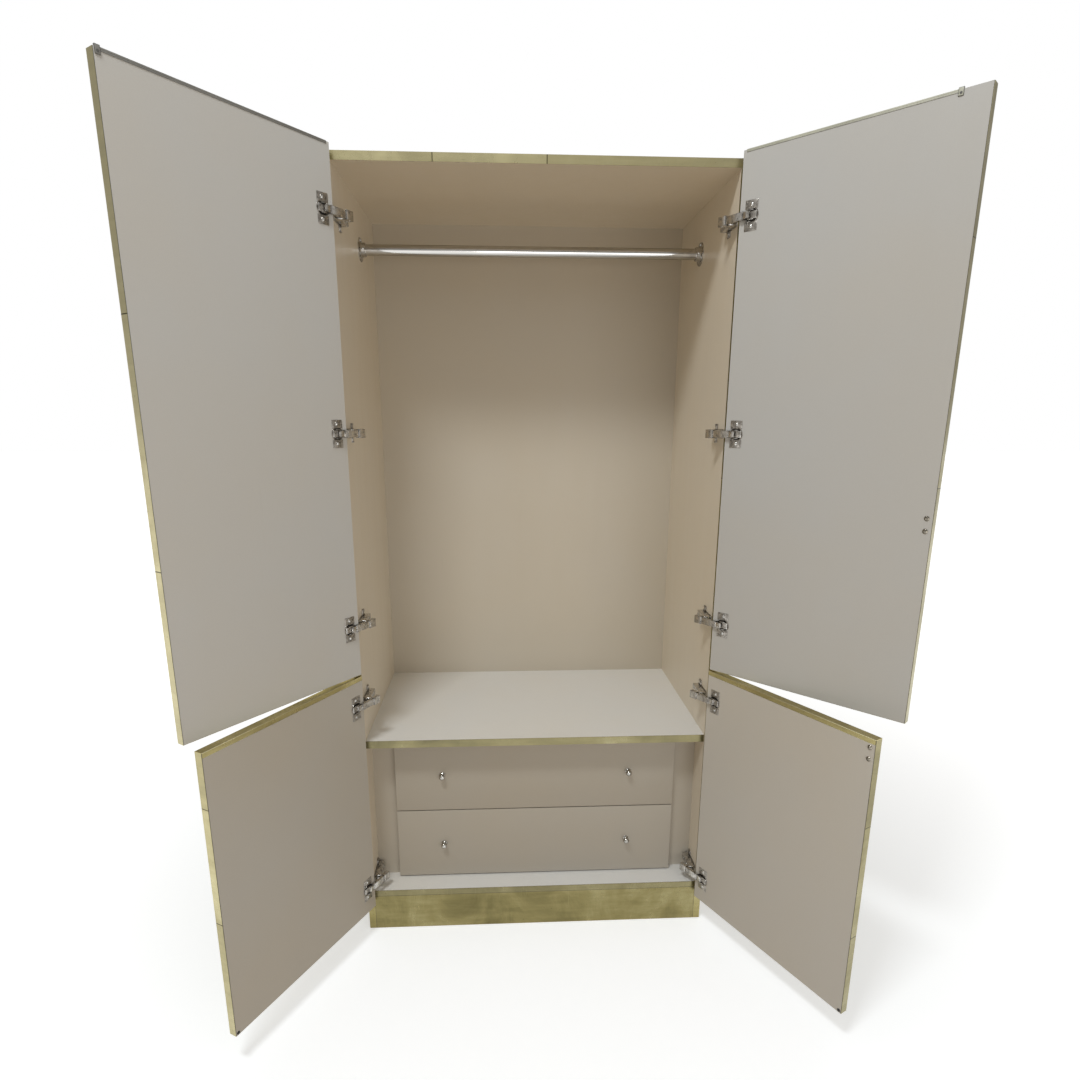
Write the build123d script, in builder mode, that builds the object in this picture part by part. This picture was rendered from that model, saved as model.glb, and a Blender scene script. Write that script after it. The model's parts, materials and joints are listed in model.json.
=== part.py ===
from build123d import *
import math
import os

# Armoire: brass-clad carcass, two upper and two lower doors, two drawers, a hanging rail.
# Millimetres, +Z up, front towards -Y. Origin: middle of the footprint, on the floor.
# The doors stand open at rest, so each leaf is placed by its own plane at its rest angle.

# ---- driving dimensions -------------------------------------------------------------
case_width = 1016.0
case_height = 2118.0
case_depth = 560.0
board = 19.0
sheet = 1.2                      # brass cladding
back_board = 10.0
skin_lift = 2.0                  # cladding stops this far above the floor

deck_top = 131.0
shelf_top = 619.0
shelf_board = 22.0
shelf_setback = 4.0

rail_radius = 15.0
rail_height = 1975.0
rail_setback = 325.0             # from the front plane to the rail's axis

filler_setback = 85.5
filler_width = 86.0
drawer_setback = 64.0
drawer_front_half_width = 420.0
lower_front_span = (135.0, 356.5)
upper_front_span = (359.5, 593.0)
drawer_side_board = 12.7
drawer_length = 440.0
drawer_wall_height = 160.0
runner_space = 12.7               # between a drawer's wall and the partition beside it
knob_spacing = 560.0

door_thickness = 22.0
door_gap = 2.5                   # between a closed door and the case
leaf_gap = 3.0                   # between the two closed leaves of a pair
upper_door_span = (830.0, 2127.0)
lower_door_span = (93.0, 826.0)
rest_angle = {"upper_left": 126.0, "upper_right": 133.0, "lower_left": 119.5, "lower_right": 118.5}

pivot_inset = 8.0                # hinge axis, measured in from the case's outer side
pivot_depth = 15.0               # hinge axis, measured out from a door's inner face
upper_hinge_heights = (967.0, 1475.0, 1983.0)
lower_hinge_heights = (170.0, 741.0)
cup_inset = 30.0                 # cup centre from the door's hinge edge
cup_radius = 17.5
cup_depth = 12.5
link_turn = 30.6                 # the hinge link runs out at this angle to the case side, degrees
link_start = (30.0, 8.5)         # tip of a closed link, from the hinge axis
link_rate = 0.37                 # mm of link travel for one degree of door
link_length = 86.0
link_size = (8.0, 18.0)
tongue_size = (3.0, 12.0)
tongue_length = 16.0
tongue_offset = -1.2             # towards the case's side

pull_bolt_spacing = 28.0
pull_bolt_inset = 13.0
upper_pull_height = 1291.5
lower_pull_height = 789.5

# ---- worked out from them -----------------------------------------------------------
half = case_width / 2
front = -case_depth / 2
rear = case_depth / 2
inner = half - sheet - board     # inside faces of the side boards
back_face = rear - back_board
deck_bottom = deck_top - board
shelf_bottom = shelf_top - shelf_board
ceiling = case_height - sheet - board
filler_edge = inner - filler_width
filler_face = front + filler_setback
drawer_face = front + drawer_setback
drawer_back = drawer_face + board
pivot_y = front - door_gap - pivot_depth
leaf_width = half - leaf_gap / 2
inner_face = pivot_depth         # door faces in a leaf's own plane
outer_face = pivot_depth - door_thickness
hinge_edge = -pivot_inset        # leaf's hinge edge in its own plane
free_edge = leaf_width - pivot_inset

os.makedirs("parts", exist_ok=True)


def save(part, label):
    part.label = label
    export_step(part, f"parts/{label}.step")


def slab(plane, x_span, y_span, height, mode=Mode.ADD):
    """A block on a plane: its two spans in the plane, and its height along the normal."""
    middle = ((x_span[0] + x_span[1]) / 2, (y_span[0] + y_span[1]) / 2)
    with BuildSketch(plane) as outline:
        with Locations(middle):
            Rectangle(abs(x_span[1] - x_span[0]), abs(y_span[1] - y_span[0]))
    extrude(outline.sketch, amount=height, mode=mode)


def level(z):
    return Plane.XY.offset(z)


def rod(plane, spots, radius, height, mode=Mode.ADD):
    """Round bars or holes that stand on a plane at the given spots."""
    with BuildSketch(plane) as outline:
        with Locations(*spots):
            Circle(radius)
    extrude(outline.sketch, amount=height, mode=mode)


# ---- carcass boards -----------------------------------------------------------------
screw_heights = (deck_bottom + board / 2, shelf_bottom + shelf_board / 2, ceiling + board / 2)
screw_depths = (front + 80.0, front + 280.0, front + 480.0)
screw_radius = 2.5
screw_head_radius = 5.0
screw_head_depth = 4.0
screw_length = 50.0
plate_screw_setback = 66.0
plate_screw_spread = 16.0        # half the distance between a mounting plate's screws
small_screw_radius = 2.0
small_screw_depth = 11.0
small_head_radius = 4.0
small_head_height = 1.5
flange_screw_ring = 25.5         # distance of a flange's screws from the rail's axis

rail_y = front + rail_setback
flange_screw_spots = [(rail_y + flange_screw_ring * math.sin(math.radians(turn)),
                       rail_height + flange_screw_ring * math.cos(math.radians(turn)))
                      for turn in (0, 120, 240)]


def case_screw_spots():
    return [(y, z) for y in screw_depths for z in screw_heights]


def plate_screw_spots():
    heights = upper_hinge_heights + lower_hinge_heights
    return [(front + plate_screw_setback, z + end) for z in heights
            for end in (-plate_screw_spread, plate_screw_spread)]


def side_plane(side, x):
    """A plane across X whose local axes are Y and Z, facing away from the case's middle."""
    if side > 0:
        return Plane(origin=(x, 0, 0), x_dir=(0, 1, 0), z_dir=(1, 0, 0))
    return Plane(origin=(-x, 0, 0), x_dir=(0, 1, 0), z_dir=(-1, 0, 0))


def side_spots(side, spots):
    """Turn (y, z) into the local axes of side_plane, whose second axis points down on the left."""
    return [(y, z) if side > 0 else (y, -z) for y, z in spots]


for side, name in ((-1, "left"), (1, "right")):
    with BuildPart() as side_panel:
        slab(level(0), (side * inner, side * (half - sheet)), (front + sheet, rear),
             case_height - sheet)
        rod(side_plane(side, inner), side_spots(side, case_screw_spots()), screw_radius, board,
            Mode.SUBTRACT)
        rod(side_plane(side, inner + board - screw_head_depth),
            side_spots(side, case_screw_spots()), screw_head_radius, screw_head_depth,
            Mode.SUBTRACT)
        rod(side_plane(side, inner), side_spots(side, plate_screw_spots() + flange_screw_spots),
            small_screw_radius, small_screw_depth, Mode.SUBTRACT)
    save(side_panel.part, f"{name}_side_panel")

    with BuildPart() as side_cladding:
        slab(level(skin_lift), (side * (half - sheet), side * half), (front, rear),
             case_height - sheet - skin_lift)
        slab(level(skin_lift), (side * inner, side * half), (front, front + sheet),
             ceiling - skin_lift)
    save(side_cladding.part, f"{name}_side_cladding")


def cross_board(z_span, y_span, screw_row):
    """A board between the two sides, with a row of screw holes in each end."""
    with BuildPart() as cross:
        slab(level(z_span[0]), (-inner, inner), y_span, z_span[1] - z_span[0])
        for side in (-1, 1):
            spots = [(y, screw_row) for y in screw_depths]
            rod(side_plane(side, inner - screw_length + board), side_spots(side, spots),
                screw_radius, screw_length - board, Mode.SUBTRACT)
    return cross.part


save(cross_board((ceiling, ceiling + board), (front + sheet, back_face), screw_heights[2]),
     "top_panel")
save(cross_board((deck_bottom, deck_top), (front + sheet, back_face), screw_heights[0]),
     "bottom_deck")
save(cross_board((shelf_bottom, shelf_top), (front + shelf_setback + sheet, back_face),
                 screw_heights[1]), "fixed_shelf")

with BuildPart() as back_panel:
    slab(level(0), (-inner, inner), (back_face, rear), case_height - sheet)
save(back_panel.part, "back_panel")

with BuildPart() as plinth_board:
    slab(level(0), (-inner, inner), (front + sheet, front + sheet + board), deck_bottom)
save(plinth_board.part, "plinth_board")

with BuildPart() as deck_support:
    slab(level(0), (-board / 2, board / 2), (front + sheet + board, back_face), deck_bottom)
save(deck_support.part, "deck_support")

with BuildPart() as drawer_fillers:
    for side in (-1, 1):
        slab(level(deck_top), (side * filler_edge, side * inner),
             (filler_face, filler_face + board), shelf_bottom - deck_top)
save(drawer_fillers.part, "drawer_fillers")

with BuildPart() as drawer_partitions:
    for side in (-1, 1):
        slab(level(deck_top), (side * filler_edge, side * (filler_edge + board)),
             (filler_face + board, back_face), shelf_bottom - deck_top)
save(drawer_partitions.part, "drawer_partitions")

# ---- brass cladding of the carcass --------------------------------------------------
with BuildPart() as top_cladding:
    slab(level(case_height - sheet), (-half, half), (front, rear), sheet)
    slab(level(ceiling), (-half + sheet, half - sheet), (front, front + sheet), board + sheet)
save(top_cladding.part, "top_cladding")

with BuildPart() as plinth_cladding:
    slab(level(skin_lift), (-inner, inner), (front, front + sheet), deck_bottom - skin_lift)
save(plinth_cladding.part, "plinth_cladding")

with BuildPart() as edge_strips:
    slab(level(deck_bottom), (-inner, inner), (front, front + sheet), board)
    slab(level(shelf_bottom), (-inner, inner),
         (front + shelf_setback, front + shelf_setback + sheet), shelf_board)
save(edge_strips.part, "edge_strips")

# ---- hanging rail -------------------------------------------------------------------
flange_radius = 32.0
flange_plate = 3.0
flange_collar_radius = 19.0
flange_depth = 16.0
rail_wall = 1.5
rail_clearance = 0.05

with BuildPart() as hanging_rail:
    rail_end = Plane(origin=(-inner + flange_plate, 0, 0), x_dir=(0, 1, 0), z_dir=(1, 0, 0))
    rail_length = 2 * (inner - flange_plate)
    rod(rail_end, [(rail_y, rail_height)], rail_radius, rail_length)
    rod(rail_end, [(rail_y, rail_height)], rail_radius - rail_wall, rail_length, Mode.SUBTRACT)
save(hanging_rail.part, "hanging_rail")


def inward_plane(side, x):
    """A plane across X that faces the case's middle, with local axes Y and Z."""
    return Plane(origin=(side * x, 0, 0), x_dir=(0, 1, 0), z_dir=(-side, 0, 0))


def inward_spots(side, spots):
    return [(y, z) if side < 0 else (y, -z) for y, z in spots]


with BuildPart() as rail_flanges:
    for side in (-1, 1):
        centre = inward_spots(side, [(rail_y, rail_height)])
        holes = inward_spots(side, flange_screw_spots)
        rod(inward_plane(side, inner), centre, flange_radius, flange_plate)
        rod(inward_plane(side, inner), centre, flange_collar_radius, flange_depth)
        rod(inward_plane(side, inner - flange_plate), centre, rail_radius + rail_clearance,
            flange_depth, Mode.SUBTRACT)
        rod(inward_plane(side, inner), holes, small_screw_radius, flange_plate, Mode.SUBTRACT)
save(rail_flanges.part, "rail_flanges")

# ---- drawer runners fixed to the carcass --------------------------------------------
runner_gauge = 1.5
outer_runner_height = 45.0
inner_runner_height = 36.0
runner_reach = 10.5
runner_play = 1.0                # the inner runner's lips stop this far short of the outer's
runner_start = drawer_back + 5.0
runner_trim = 10.0               # the inner runner is this much shorter than the outer
runner_rise = 60.0               # runner's middle above the bottom edge of a drawer's walls
drawer_base = {"lower": 150.0, "upper": 375.0}
drawer_half = filler_edge - runner_space


def channel(side, x_web, direction, z_mid, height, reach, start, length):
    """A C-shaped runner: a web on the plane x_web and two lips that reach along direction."""
    low = z_mid - height / 2
    high = z_mid + height / 2
    tip = x_web + direction * reach
    web = x_web + direction * runner_gauge
    slab(level(low), (side * x_web, side * web), (start, start + length), height)
    slab(level(low), (side * x_web, side * tip), (start, start + length), runner_gauge)
    slab(level(high - runner_gauge), (side * x_web, side * tip), (start, start + length),
         runner_gauge)


with BuildPart() as drawer_outer_runners:
    for base in drawer_base.values():
        for side in (-1, 1):
            channel(side, filler_edge, -1, base + runner_rise, outer_runner_height,
                    runner_reach, runner_start, drawer_length)
save(drawer_outer_runners.part, "drawer_outer_runners")

# ---- hinge parts fixed to the carcass -----------------------------------------------
plate_gauge = 2.0
plate_wing = (20.0, 50.0)
plate_tail = 24.0                # height of the plate between its wings and the front
plate_start = 6.0                # behind the front plane
plate_end = 82.0
arm_size = (12.0, 22.0)
arm_start = 17.5
arm_length = 23.0
arm_clear = 0.6
arm_neck = (6.5, 18.5)           # depth behind the front plane, where the arm meets its body
neck_size = (27.3, 18.0)         # how far the neck stands off the side, and its height
body_depth = 80.0
body_size = (18.0, 20.0)         # how far the body stands off the side, and its height
link_run = (math.sin(math.radians(link_turn)), math.cos(math.radians(link_turn)))


def link_plane(side, along):
    """Section plane of a hinge link, set back from a closed link's tip by the distance along.
    Its normal points back into the case, its local X points to the case's middle, and its
    local Y points up or down."""
    x = half - pivot_inset - link_start[0] - along * link_run[0]
    y = pivot_y + link_start[1] + along * link_run[1]
    normal = (-side * link_run[0], link_run[1], 0)
    across = (-side * link_run[1], -link_run[0], 0)
    return Plane(origin=(side * x, y, 0), x_dir=across, z_dir=normal)


def link_heights(side, heights):
    """Heights in the local Y of link_plane, which points down on the left."""
    sign = link_plane(side, 0).y_dir.Z
    return [sign * z for z in heights]


with BuildPart() as hinge_mounting_plates:
    for side in (-1, 1):
        for z in upper_hinge_heights + lower_hinge_heights:
            x_span = (side * (inner - plate_gauge), side * inner)
            slab(level(z - plate_wing[1] / 2), x_span,
                 (front + plate_screw_setback - plate_wing[0] / 2,
                  front + plate_screw_setback + plate_wing[0] / 2), plate_wing[1])
            slab(level(z - plate_tail / 2), x_span, (front + plate_start, front + plate_end),
                 plate_tail)
        rod(inward_plane(side, inner), inward_spots(side, plate_screw_spots()),
            small_screw_radius, plate_gauge, Mode.SUBTRACT)
save(hinge_mounting_plates.part, "hinge_mounting_plates")

with BuildPart() as hinge_arms:
    for side in (-1, 1):
        for z in upper_hinge_heights + lower_hinge_heights:
            arm_z = link_heights(side, [z])[0]
            with BuildSketch(link_plane(side, arm_start)):
                with Locations((0, arm_z)):
                    Rectangle(*arm_size)
            extrude(amount=arm_length)
            slab(level(z - neck_size[1] / 2),
                 (side * (inner - plate_gauge), side * (inner - neck_size[0])),
                 (front + arm_neck[0], front + arm_neck[1]), neck_size[1])
            slab(level(z - body_size[1] / 2),
                 (side * (inner - plate_gauge), side * (inner - plate_gauge - body_size[0])),
                 (front + arm_neck[0], front + body_depth), body_size[1])
            with BuildSketch(link_plane(side, 0)):
                with Locations((0, arm_z)):
                    Rectangle(link_size[0] + 2 * arm_clear, link_size[1] + 2 * arm_clear)
            extrude(amount=arm_start + arm_length, mode=Mode.SUBTRACT)
save(hinge_arms.part, "hinge_arms")

with BuildPart() as case_screws:
    for side in (-1, 1):
        rod(side_plane(side, inner - screw_length + board), side_spots(side, case_screw_spots()),
            screw_radius, screw_length - screw_head_depth)
        rod(side_plane(side, inner + board - screw_head_depth),
            side_spots(side, case_screw_spots()), screw_head_radius, screw_head_depth)
        for gauge, spots in ((plate_gauge, plate_screw_spots()),
                             (flange_plate, flange_screw_spots)):
            rod(side_plane(side, inner - gauge), side_spots(side, spots), small_screw_radius,
                gauge + small_screw_depth)
            rod(side_plane(side, inner - gauge - small_head_height), side_spots(side, spots),
                small_head_radius, small_head_height)
save(case_screws.part, "case_screws")

# ---- doors --------------------------------------------------------------------------
cap_lip = 12.0
strip_height = 5.5
strip_inset = 8.0
strip_gauge = 3.0
strip_skin = 1.0
clip_size = (10.0, 12.0)
clip_rise = 4.0                  # the clip stands this far above the leaf
clip_lip = 2.0                   # and this far off its inner face
edge_reveal = 1.5                # laminate left bare beside a folded brass edge
plate_size = (32.0, 68.0)        # the wings of a hinge cup
wing_gauge = 1.4
wing_screw_spread = 24.0
screw_play = 0.1                 # clearance of a door screw or bolt in the holes around it
cup_wall = 1.0
cup_play = 0.1
bolt_radius = 2.1
bolt_end = 4.0                   # how far a bolt reaches into the pull
bolt_head = (5.6, 2.8)
pull_bar = (14.0, 44.0, 4.5)
pull_overlap = 0.5               # the posts run this far into the bar
pull_post_radius = 5.0
pull_reach = 3.0
slot_start = 10.0                # the channel under a link's bar starts this far along it
slot_offset = -1.5
slot_rim = 1.5
strip_end = {"upper_left": 2.0, "upper_right": 50.0}


def door_plane(side, angle, z):
    """A leaf's own plane: local X runs along the closed leaf, local Y to the case's back."""
    turn = math.radians(angle)
    return Plane(origin=(side * (half - pivot_inset), pivot_y, z),
                 x_dir=(math.cos(turn), side * math.sin(turn), 0), z_dir=(0, 0, 1))


def face_plane(side, angle, depth, outward):
    """A plane parallel to a leaf's faces at the given local depth. Its normal points away
    from the case when outward is true, and its local X runs along the leaf."""
    base = door_plane(side, angle, 0)
    origin = base.origin + base.y_dir * depth
    normal = base.y_dir * (-1 if outward else 1)
    return Plane(origin=origin, x_dir=base.x_dir, z_dir=normal)


def face_spots(plane, spots):
    """(leaf x, height) pairs in the local axes of a face_plane."""
    return [(x, z * plane.y_dir.Z) for x, z in spots]


def make_door(name, side, span, hinge_heights, pull_height):
    angle = rest_angle[name]
    upper = name.startswith("upper")
    low, high = span
    tall = high - low

    def leaf(x_span, y_span, z_span, mode=Mode.ADD):
        slab(door_plane(side, angle, z_span[0]), (-side * x_span[0], -side * x_span[1]), y_span,
             z_span[1] - z_span[0], mode)

    def studs(depth, outward, spots, radius, height, mode=Mode.ADD):
        plane = face_plane(side, angle, depth, outward)
        rod(plane, face_spots(plane, [(-side * x, z) for x, z in spots]), radius, height, mode)

    cups = [(hinge_edge + cup_inset, z) for z in hinge_heights]
    wing_screws = [(x, z + end) for x, z in cups for end in (-wing_screw_spread, wing_screw_spread)]
    core_top = high if upper else high - sheet
    bolts = []
    if pull_height:
        bolts = [(free_edge - pull_bolt_inset, pull_height + end * pull_bolt_spacing / 2)
                 for end in (-1, 1)]

    with BuildPart() as panel:
        leaf((hinge_edge, free_edge - sheet), (outer_face + sheet, inner_face),
             (low + sheet, core_top))
        if not upper:
            leaf((hinge_edge, free_edge), (inner_face - sheet, inner_face),
                 (core_top - cap_lip + sheet, core_top), Mode.SUBTRACT)
        studs(inner_face, True, cups, cup_radius, cup_depth, Mode.SUBTRACT)
        studs(inner_face, True, wing_screws, small_screw_radius, small_screw_depth,
              Mode.SUBTRACT)
        if bolts:
            studs(inner_face, True, bolts, bolt_radius + screw_play, door_thickness - sheet,
                  Mode.SUBTRACT)
    save(panel.part, f"{name}_door_panel")

    with BuildPart() as cladding:
        leaf((hinge_edge, free_edge), (outer_face, outer_face + sheet), (low, core_top))
        leaf((free_edge - sheet, free_edge), (outer_face, inner_face - edge_reveal),
             (low, core_top))
        leaf((hinge_edge, free_edge), (outer_face, inner_face - edge_reveal), (low, low + sheet))
        if bolts:
            studs(outer_face + sheet, True, bolts, bolt_radius + screw_play, sheet,
                  Mode.SUBTRACT)
    save(cladding.part, f"{name}_door_cladding")

    if upper:
        end = free_edge - strip_end[name]
        with BuildPart() as strip:
            leaf((hinge_edge + strip_inset, end), (inner_face, inner_face + strip_skin),
                 (high - strip_height, high))
            leaf((hinge_edge + strip_inset, end),
                 (inner_face - strip_gauge, inner_face + strip_skin), (high, high + strip_skin))
            leaf((end - clip_size[0], end), (inner_face - strip_gauge, inner_face + clip_lip),
                 (high + strip_skin, high + clip_rise))
            leaf((end - clip_size[0], end), (inner_face, inner_face + clip_lip),
                 (high - clip_size[1], high + strip_skin))
        save(strip.part, f"{name}_door_top_strip")
    else:
        with BuildPart() as cap:
            leaf((hinge_edge, free_edge), (outer_face, inner_face), (high - sheet, high))
            leaf((hinge_edge, free_edge - sheet), (inner_face - sheet, inner_face),
                 (high - cap_lip, high))
        save(cap.part, f"{name}_door_cap")

    with BuildPart() as hinge_cups:
        studs(inner_face, True, cups, cup_radius - cup_play, cup_depth - cup_play)
        for x, z in cups:
            leaf((x - plate_size[0] / 2, x + plate_size[0] / 2),
                 (inner_face, inner_face + wing_gauge),
                 (z - plate_size[1] / 2, z + plate_size[1] / 2))
        studs(inner_face + wing_gauge, True, cups, cup_radius - cup_play - cup_wall,
              cup_depth + wing_gauge - cup_play - cup_wall, Mode.SUBTRACT)
        studs(inner_face + wing_gauge, True, wing_screws, small_screw_radius + screw_play,
              wing_gauge, Mode.SUBTRACT)
    save(hinge_cups.part, f"{name}_hinge_cups")

    with BuildPart() as door_screws:
        studs(inner_face + wing_gauge, True, wing_screws, small_screw_radius - screw_play / 2,
              small_screw_depth)
        studs(inner_face + wing_gauge, False, wing_screws, small_head_radius, small_head_height)
        if bolts:
            studs(inner_face, True, bolts, bolt_radius, door_thickness + bolt_end)
            studs(inner_face, False, bolts, bolt_head[0], bolt_head[1])
    save(door_screws.part, f"{name}_door_screws")

    if bolts:
        mid_x = free_edge - pull_bolt_inset
        bar_back = outer_face - pull_reach + pull_overlap
        with BuildPart() as pull:
            studs(outer_face, True, bolts, pull_post_radius, pull_reach)
            leaf((mid_x - pull_bar[0] / 2, mid_x + pull_bar[0] / 2),
                 (bar_back - pull_bar[2], bar_back),
                 (pull_height - pull_bar[1] / 2, pull_height + pull_bar[1] / 2))
            studs(outer_face, True, bolts, bolt_radius + screw_play, bolt_end + 1.0,
                  Mode.SUBTRACT)
        save(pull.part, f"{name}_door_pull")

    with BuildPart() as links:
        out = angle * link_rate
        for z in hinge_heights:
            mid = link_heights(side, [z])[0]
            with BuildSketch(link_plane(side, -out)):
                with Locations((tongue_offset, mid)):
                    Rectangle(*tongue_size)
            extrude(amount=tongue_length)
            with BuildSketch(link_plane(side, tongue_length - out)):
                with Locations((0, mid)):
                    Rectangle(*link_size)
            extrude(amount=link_length - tongue_length)
            with BuildSketch(link_plane(side, tongue_length + slot_start - out)):
                with Locations((slot_offset, mid)):
                    Rectangle(link_size[0], link_size[1] - 2 * slot_rim)
            extrude(amount=link_length - tongue_length - slot_start, mode=Mode.SUBTRACT)
    save(links.part, f"{name}_hinge_links")


make_door("upper_left", -1, upper_door_span, upper_hinge_heights, None)
make_door("upper_right", 1, upper_door_span, upper_hinge_heights, upper_pull_height)
make_door("lower_left", -1, lower_door_span, lower_hinge_heights, None)
make_door("lower_right", 1, lower_door_span, lower_hinge_heights, lower_pull_height)

# ---- drawers ------------------------------------------------------------------------
bottom_board = 6.0
bottom_rise = 10.0
groove = 6.0
knob_screw_radius = 2.0
knob_hole = 18.0                 # depth of a knob's screw hole, from its foot
knob_foot = ((knob_screw_radius, 0), (8.0, 0), (8.0, -2.0), (4.5, -4.0), (4.5, -9.0))
knob_bulge = ((4.5, -9.0), (9.0, -15.5), (4.5, -22.0))
knob_tip = ((4.5, -22.0), (0, -23.0), (0, -knob_hole), (knob_screw_radius, -knob_hole),
            (knob_screw_radius, 0))


def make_drawer(name, front_span, base):
    inside = drawer_half - drawer_side_board
    far = drawer_back + drawer_length
    floor_span = (base + bottom_rise, base + bottom_rise + bottom_board)
    knob_height = sum(front_span) / 2
    knobs = [(-knob_spacing / 2, knob_height), (knob_spacing / 2, knob_height)]
    facing = Plane(origin=(0, drawer_face, 0), x_dir=(1, 0, 0), z_dir=(0, -1, 0))

    with BuildPart() as front_board:
        slab(level(front_span[0]), (-drawer_front_half_width, drawer_front_half_width),
             (drawer_face, drawer_back), front_span[1] - front_span[0])
        rod(facing.offset(-board), knobs, knob_screw_radius + 0.1, board, Mode.SUBTRACT)
    save(front_board.part, f"{name}_drawer_front")

    with BuildPart() as sides:
        for side in (-1, 1):
            slab(level(base), (side * inside, side * drawer_half), (drawer_back, far),
                 drawer_wall_height)
            slab(level(floor_span[0]), (side * inside, side * (inside + groove)),
                 (drawer_back, far), bottom_board, Mode.SUBTRACT)
    save(sides.part, f"{name}_drawer_sides")

    with BuildPart() as ends:
        for start in (drawer_back, far - drawer_side_board):
            slab(level(floor_span[1]), (-inside, inside), (start, start + drawer_side_board),
                 drawer_wall_height - bottom_rise - bottom_board)
    save(ends.part, f"{name}_drawer_ends")

    with BuildPart() as bottom:
        slab(level(floor_span[0]), (-inside - groove, inside + groove), (drawer_back, far),
             bottom_board)
    save(bottom.part, f"{name}_drawer_bottom")

    with BuildPart() as inner_runners:
        for side in (-1, 1):
            channel(side, drawer_half, 1, base + runner_rise, inner_runner_height,
                    runner_reach - runner_play, runner_start, drawer_length - runner_trim)
    save(inner_runners.part, f"{name}_drawer_runners")

    with BuildPart() as knob_set:
        for x, z in knobs:
            with BuildSketch(Plane(origin=(x, drawer_face, z))):
                with BuildLine():
                    Polyline(*knob_foot)
                    ThreePointArc(*knob_bulge)
                    Polyline(*knob_tip)
                make_face()
            revolve(axis=Axis((x, drawer_face, z), (0, 1, 0)))
    save(knob_set.part, f"{name}_drawer_knobs")


make_drawer("lower", lower_front_span, drawer_base["lower"])
make_drawer("upper", upper_front_span, drawer_base["upper"])
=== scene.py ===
import bpy
import bmesh
import json
from math import radians, cos, sin, tau
from mathutils import Matrix, Vector


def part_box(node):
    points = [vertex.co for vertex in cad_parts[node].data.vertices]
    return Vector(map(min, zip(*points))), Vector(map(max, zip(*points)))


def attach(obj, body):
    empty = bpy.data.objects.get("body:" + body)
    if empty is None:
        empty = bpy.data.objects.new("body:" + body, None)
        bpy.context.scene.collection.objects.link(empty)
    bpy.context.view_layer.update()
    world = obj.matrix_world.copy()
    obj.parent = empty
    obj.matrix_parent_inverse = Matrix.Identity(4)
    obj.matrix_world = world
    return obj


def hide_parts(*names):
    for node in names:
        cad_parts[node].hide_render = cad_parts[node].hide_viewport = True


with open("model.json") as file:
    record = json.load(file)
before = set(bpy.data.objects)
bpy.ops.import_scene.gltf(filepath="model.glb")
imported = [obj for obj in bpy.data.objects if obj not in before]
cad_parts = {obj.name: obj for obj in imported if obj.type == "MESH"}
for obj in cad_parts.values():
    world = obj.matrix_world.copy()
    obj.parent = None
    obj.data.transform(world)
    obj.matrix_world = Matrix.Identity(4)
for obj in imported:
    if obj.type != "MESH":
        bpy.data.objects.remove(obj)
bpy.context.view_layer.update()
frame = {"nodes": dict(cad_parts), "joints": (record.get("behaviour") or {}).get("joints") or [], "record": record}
record = frame["record"]
cadNodes = frame["nodes"]
joints = {joint["name"]: joint for joint in frame["joints"]}
doorNames = ["upper_left", "upper_right", "lower_left", "lower_right"]
print("frame loaded")


# every piece is shaped in its own corner, then put in place

def finishPiece(bm, name, body, materials, matrix=None, smoothAngle=35):
    if matrix is not None:
        bmesh.ops.transform(bm, matrix=matrix, verts=bm.verts)
    bmesh.ops.remove_doubles(bm, verts=bm.verts, dist=1e-6)
    bmesh.ops.recalc_face_normals(bm, faces=bm.faces)
    mesh = bpy.data.meshes.new(name)
    bm.to_mesh(mesh)
    bm.free()
    piece = bpy.data.objects.new(name, mesh)
    bpy.context.scene.collection.objects.link(piece)
    for material in materials:
        mesh.materials.append(material)
    mesh.polygons.foreach_set("use_smooth", [True] * len(mesh.polygons))
    mesh.set_sharp_from_angle(angle=radians(smoothAngle))
    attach(piece, body)
    return piece


def addBox(bm, low, high, bevel, segments=2, material=0):
    low, high = Vector(low), Vector(high)
    made = bmesh.ops.create_cube(bm, size=1.0)["verts"]
    bmesh.ops.scale(bm, vec=[abs(v) for v in high - low], verts=made)
    bmesh.ops.translate(bm, vec=(low + high) / 2, verts=made)
    faces = set(face for vert in made for face in vert.link_faces)
    edges = list(set(edge for vert in made for edge in vert.link_edges))
    result = bmesh.ops.bevel(bm, geom=edges, offset=bevel, offset_type="OFFSET", segments=segments,
                             profile=0.5, affect="EDGES", material=-1, clamp_overlap=True)
    faces = set(result["faces"]) | set(face for face in faces if face.is_valid)
    for face in faces:
        face.material_index = material
    return [vert for face in faces for vert in face.verts]


def addSpun(bm, profile, centre, axis, steps=32, material=0):
    # profile is (radius, height) pairs along the axis
    axis = Vector(axis).normalized()
    turn = Vector((0, 0, 1)).rotation_difference(axis).to_matrix().to_4x4()
    place = Matrix.Translation(Vector(centre)) @ turn
    points = [bm.verts.new((radius, 0, height)) for radius, height in profile]
    lines = [bm.edges.new(pair) for pair in zip(points, points[1:])]
    bmesh.ops.spin(bm, geom=points + lines, cent=(0, 0, 0), axis=(0, 0, 1), angle=tau,
                   steps=steps, use_merge=True, use_duplicate=False)
    made = linkedVerts(points)
    for face in set(face for vert in made for face in vert.link_faces):
        face.material_index = material
    bmesh.ops.transform(bm, matrix=place, verts=made)
    return made


def linkedVerts(start):
    seen = set(start)
    stack = list(start)
    while stack:
        vert = stack.pop()
        for edge in vert.link_edges:
            other = edge.other_vert(vert)
            if other not in seen:
                seen.add(other)
                stack.append(other)
    return list(seen)


# node helpers for the materials

def newMaterial(name):
    material = bpy.data.materials.new(name)
    material.use_nodes = True
    tree = material.node_tree
    shader = tree.nodes["Principled BSDF"]
    coords = tree.nodes.new("ShaderNodeTexCoord")
    return material, tree, shader, coords.outputs["Object"]


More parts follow.
